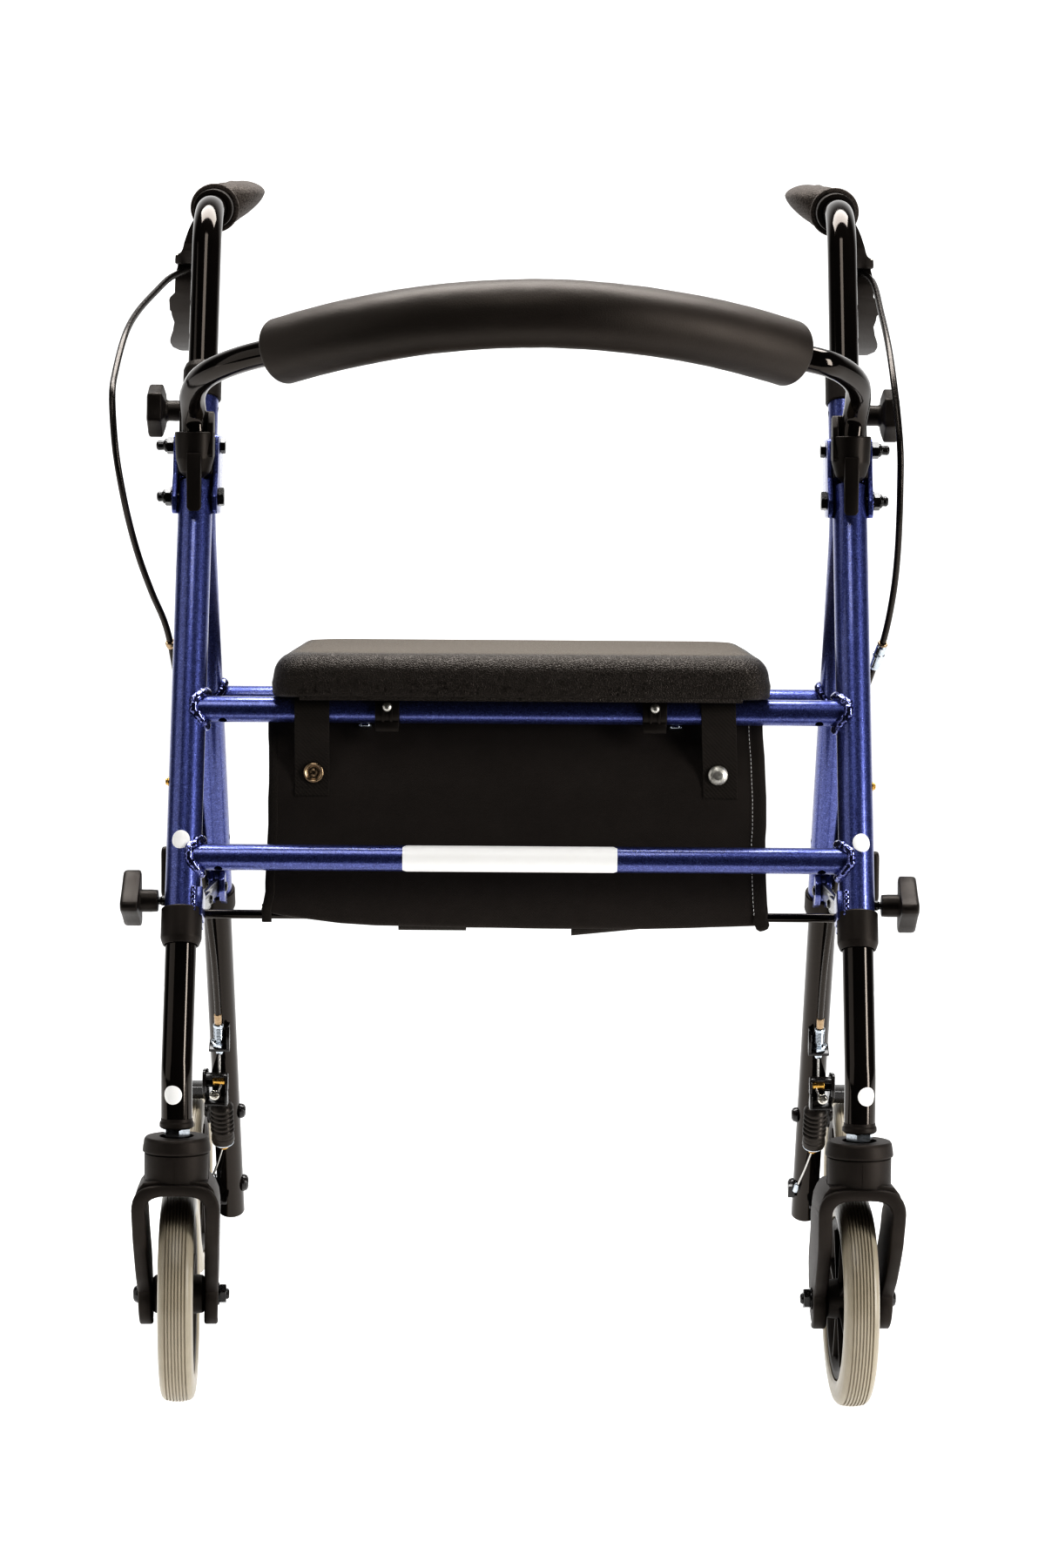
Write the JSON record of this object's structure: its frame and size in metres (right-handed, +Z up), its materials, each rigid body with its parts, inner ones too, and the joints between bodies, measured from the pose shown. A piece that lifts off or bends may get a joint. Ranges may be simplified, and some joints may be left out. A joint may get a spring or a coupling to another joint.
{
  "type": "rollator",
  "caption": "Folding walking frame on wheels with flip-up seat, pouch, foam backrest bar, height-adjustable handles and legs, and cable brakes.",
  "frame": {"origin": "on the floor under the middle of the outer box, with the frame unfolded on its four wheels", "axes": "+Z up; +X towards the user's left; the user stands behind at +Y and walks towards -Y, the backrest and caster side"},
  "size_m": [0.612, 0.6199, 0.9045],
  "materials": {
    "blue_paint": "metallic dark blue powder coat with fine flake",
    "gloss_black": "gloss black powder coat on aluminium tube",
    "black_steel": "semi-gloss black plated steel",
    "black_plastic": "fine-textured black moulded plastic",
    "soft_grip": "leather-textured soft rubber",
    "boot_rubber": "ribbed black rubber",
    "foam_skin": "smooth-skinned black foam",
    "seat_skin": "leather-grained moulded seat skin, semi-matte",
    "pouch_cloth": "black plain-weave nylon",
    "tread": "warm grey ribbed tread",
    "cable_skin": "satin black cable housing"
  },
  "bodies": {
    "rear_frame": {"rear_tube_r": "blue_paint", "rear_tube_l": "blue_paint", "rear_crossbar": "blue_paint", "pivot_bolt_r": "black_steel", "pivot_bolt_l": "black_steel", "handle_collar_r": "black_plastic", "handle_collar_l": "black_plastic", "backrest_socket_r": "black_plastic", "backrest_socket_l": "black_plastic", "brake_cable_r": "cable_skin", "brake_cable_l": "cable_skin"},
    "front_frame": {"front_tube_r": "blue_paint", "front_tube_l": "blue_paint", "seat_crossbar": "blue_paint", "lower_crossbar": "blue_paint", "fold_rod": "gloss_black", "front_collar_r": "black_plastic", "front_collar_l": "black_plastic", "pouch": "pouch_cloth"},
    "seat": {"seat": "seat_skin"},
    "backrest": {"backrest_bar": "gloss_black", "backrest_pad": "foam_skin"},
    "handle_r": {"handle_tube_r": "gloss_black", "grip_r": "soft_grip", "lever_bracket_r": "black_plastic"},
    "lever_r": {"lever_r": "black_plastic"},
    "upper_knob_r": {"upper_knob_r": "black_plastic"},
    "rear_knob_r": {"rear_knob_r": "black_plastic"},
    "lower_knob_r": {"lower_knob_r": "black_plastic"},
    "front_leg_r": {"front_leg_r": "gloss_black"},
    "caster_r": {"caster_fork_r": "black_plastic", "caster_axle_r": "black_steel"},
    "caster_wheel_r": {"caster_rim_r": "black_plastic", "caster_tyre_r": "tread"},
    "rear_leg_r": {"rear_leg_r": "gloss_black", "brake_spring_r": "boot_rubber"},
    "rear_wheel_r": {"rear_rim_r": "black_plastic", "rear_tyre_r": "tread"},
    "brake_arm_r": {"brake_arm_r": "black_steel"},
    "stay_front_r": {"brace_front_r": "blue_paint"},
    "stay_rear_r": {"brace_rear_r": "blue_paint"},
    "handle_l": {"handle_tube_l": "gloss_black", "grip_l": "soft_grip", "lever_bracket_l": "black_plastic"},
    "lever_l": {"lever_l": "black_plastic"},
    "upper_knob_l": {"upper_knob_l": "black_plastic"},
    "rear_knob_l": {"rear_knob_l": "black_plastic"},
    "lower_knob_l": {"lower_knob_l": "black_plastic"},
    "front_leg_l": {"front_leg_l": "gloss_black"},
    "caster_l": {"caster_fork_l": "black_plastic", "caster_axle_l": "black_steel"},
    "caster_wheel_l": {"caster_rim_l": "black_plastic", "caster_tyre_l": "tread"},
    "rear_leg_l": {"rear_leg_l": "gloss_black", "brake_spring_l": "boot_rubber"},
    "rear_wheel_l": {"rear_rim_l": "black_plastic", "rear_tyre_l": "tread"},
    "brake_arm_l": {"brake_arm_l": "black_steel"},
    "stay_front_l": {"brace_front_l": "blue_paint"},
    "stay_rear_l": {"brace_rear_l": "blue_paint"}
  },
  "joints": [
    {"name": "front_fold", "type": "hinge", "parent": "rear_frame", "child": "front_frame", "pos_m": [0, -0.1166, 0.651], "axis": [1, 0, 0], "range_deg": [0, 28], "deforming": ["pouch", "brake_cable_r", "brake_cable_l"]},
    {"name": "seat_flip", "type": "hinge", "parent": "front_frame", "child": "seat", "pos_m": [0, -0.176, 0.497], "axis": [1, 0, 0], "range_deg": [0, 68]},
    {"name": "backrest_lift", "type": "slide", "parent": "rear_frame", "child": "backrest", "axis": [0, 0, 1], "range_m": [0, 0.06]},
    {"name": "handle_height_r", "type": "slide", "parent": "rear_frame", "child": "handle_r", "axis": [0, 0.3478, 0.9376], "range_m": [-0.025, 0.03], "deforming": ["brake_cable_r"]},
    {"name": "brake_lever_r", "type": "hinge", "parent": "handle_r", "child": "lever_r", "pos_m": [-0.2606, 0.078, 0.8385], "axis": [1, 0, 0], "range_deg": [0, 15], "stiffness_Nm_per_rad": 1, "springref_deg": -5.73, "deforming": ["brake_cable_r"]},
    {"name": "upper_knob_turn_r", "type": "hinge", "parent": "rear_frame", "child": "upper_knob_r", "pos_m": [-0.242, -0.0647, 0.7155], "axis": [1, 0, 0], "continuous": true},
    {"name": "rear_knob_turn_r", "type": "hinge", "parent": "rear_frame", "child": "rear_knob_r", "pos_m": [-0.242, 0.07144, 0.355], "axis": [1, 0, 0], "continuous": true},
    {"name": "lower_knob_turn_r", "type": "hinge", "parent": "front_frame", "child": "lower_knob_r", "pos_m": [-0.242, -0.22404, 0.3615], "axis": [1, 0, 0], "continuous": true},
    {"name": "front_leg_height_r", "type": "slide", "parent": "front_frame", "child": "front_leg_r", "axis": [0, -0.3478, -0.9376], "range_m": [-0.05, 0.05]},
    {"name": "caster_swivel_r", "type": "hinge", "parent": "front_leg_r", "child": "caster_r", "pos_m": [-0.242, -0.268, 0.1975], "axis": [0, 0, 1], "continuous": true},
    {"name": "caster_spin_r", "type": "hinge", "parent": "caster_r", "child": "caster_wheel_r", "pos_m": [-0.24374, -0.22804, 0.077], "axis": [0.999, 0.0436, 0], "continuous": true},
    {"name": "rear_leg_height_r", "type": "slide", "parent": "rear_frame", "child": "rear_leg_r", "axis": [0, 0.5021, -0.8648], "range_m": [-0.05, 0.05], "deforming": ["brake_cable_r"]},
    {"name": "rear_spin_r", "type": "hinge", "parent": "rear_leg_r", "child": "rear_wheel_r", "pos_m": [-0.2745, 0.23285, 0.077], "axis": [1, 0, 0], "continuous": true},
    {"name": "brake_arm_turn_r", "type": "hinge", "parent": "rear_leg_r", "child": "brake_arm_r", "pos_m": [-0.256, 0.19395, 0.144], "axis": [-1, 0, 0], "range_deg": [0, 9], "deforming": ["brake_spring_r"]},
    {"name": "stay_front_turn_r", "type": "hinge", "parent": "front_frame", "child": "stay_front_r", "pos_m": [-0.2357, -0.193, 0.349], "axis": [1, 0, 0], "range_deg": [-98, 0]},
    {"name": "stay_rear_turn_r", "type": "hinge", "parent": "rear_frame", "child": "stay_rear_r", "pos_m": [-0.2393, 0.05, 0.345], "axis": [1, 0, 0], "range_deg": [0, 67.5]},
    {"name": "handle_height_l", "type": "slide", "parent": "rear_frame", "child": "handle_l", "axis": [0, 0.3478, 0.9376], "range_m": [-0.025, 0.03], "deforming": ["brake_cable_l"]},
    {"name": "brake_lever_l", "type": "hinge", "parent": "handle_l", "child": "lever_l", "pos_m": [0.2606, 0.078, 0.8385], "axis": [1, 0, 0], "range_deg": [0, 15], "stiffness_Nm_per_rad": 1, "springref_deg": -5.73, "deforming": ["brake_cable_l"]},
    {"name": "upper_knob_turn_l", "type": "hinge", "parent": "rear_frame", "child": "upper_knob_l", "pos_m": [0.242, -0.0647, 0.7155], "axis": [1, 0, 0], "continuous": true},
    {"name": "rear_knob_turn_l", "type": "hinge", "parent": "rear_frame", "child": "rear_knob_l", "pos_m": [0.242, 0.07144, 0.355], "axis": [1, 0, 0], "continuous": true},
    {"name": "lower_knob_turn_l", "type": "hinge", "parent": "front_frame", "child": "lower_knob_l", "pos_m": [0.242, -0.22404, 0.3615], "axis": [1, 0, 0], "continuous": true},
    {"name": "front_leg_height_l", "type": "slide", "parent": "front_frame", "child": "front_leg_l", "axis": [0, -0.3478, -0.9376], "range_m": [-0.05, 0.05]},
    {"name": "caster_swivel_l", "type": "hinge", "parent": "front_leg_l", "child": "caster_l", "pos_m": [0.242, -0.268, 0.1975], "axis": [0, 0, 1], "continuous": true},
    {"name": "caster_spin_l", "type": "hinge", "parent": "caster_l", "child": "caster_wheel_l", "pos_m": [0.24025, -0.22804, 0.077], "axis": [0.999, 0.0436, 0], "continuous": true},
    {"name": "rear_leg_height_l", "type": "slide", "parent": "rear_frame", "child": "rear_leg_l", "axis": [0, 0.5021, -0.8648], "range_m": [-0.05, 0.05], "deforming": ["brake_cable_l"]},
    {"name": "rear_spin_l", "type": "hinge", "parent": "rear_leg_l", "child": "rear_wheel_l", "pos_m": [0.2745, 0.23285, 0.077], "axis": [1, 0, 0], "continuous": true},
    {"name": "brake_arm_turn_l", "type": "hinge", "parent": "rear_leg_l", "child": "brake_arm_l", "pos_m": [0.256, 0.19395, 0.144], "axis": [-1, 0, 0], "range_deg": [0, 9], "deforming": ["brake_spring_l"]},
    {"name": "stay_front_turn_l", "type": "hinge", "parent": "front_frame", "child": "stay_front_l", "pos_m": [0.2357, -0.193, 0.349], "axis": [1, 0, 0], "range_deg": [-98, 0]},
    {"name": "stay_rear_turn_l", "type": "hinge", "parent": "rear_frame", "child": "stay_rear_l", "pos_m": [0.2393, 0.05, 0.345], "axis": [1, 0, 0], "range_deg": [0, 67.5]}
  ],
  "couplings": [
    {"joint": "stay_front_turn_r", "follows": "front_fold", "ratio": -3.4602},
    {"joint": "stay_rear_turn_r", "follows": "front_fold", "ratio": 2.3732},
    {"joint": "brake_arm_turn_r", "follows": "brake_lever_r", "ratio": 0.6},
    {"joint": "stay_front_turn_l", "follows": "front_fold", "ratio": -3.4602},
    {"joint": "stay_rear_turn_l", "follows": "front_fold", "ratio": 2.3732},
    {"joint": "brake_arm_turn_l", "follows": "brake_lever_l", "ratio": 0.6}
  ]
}
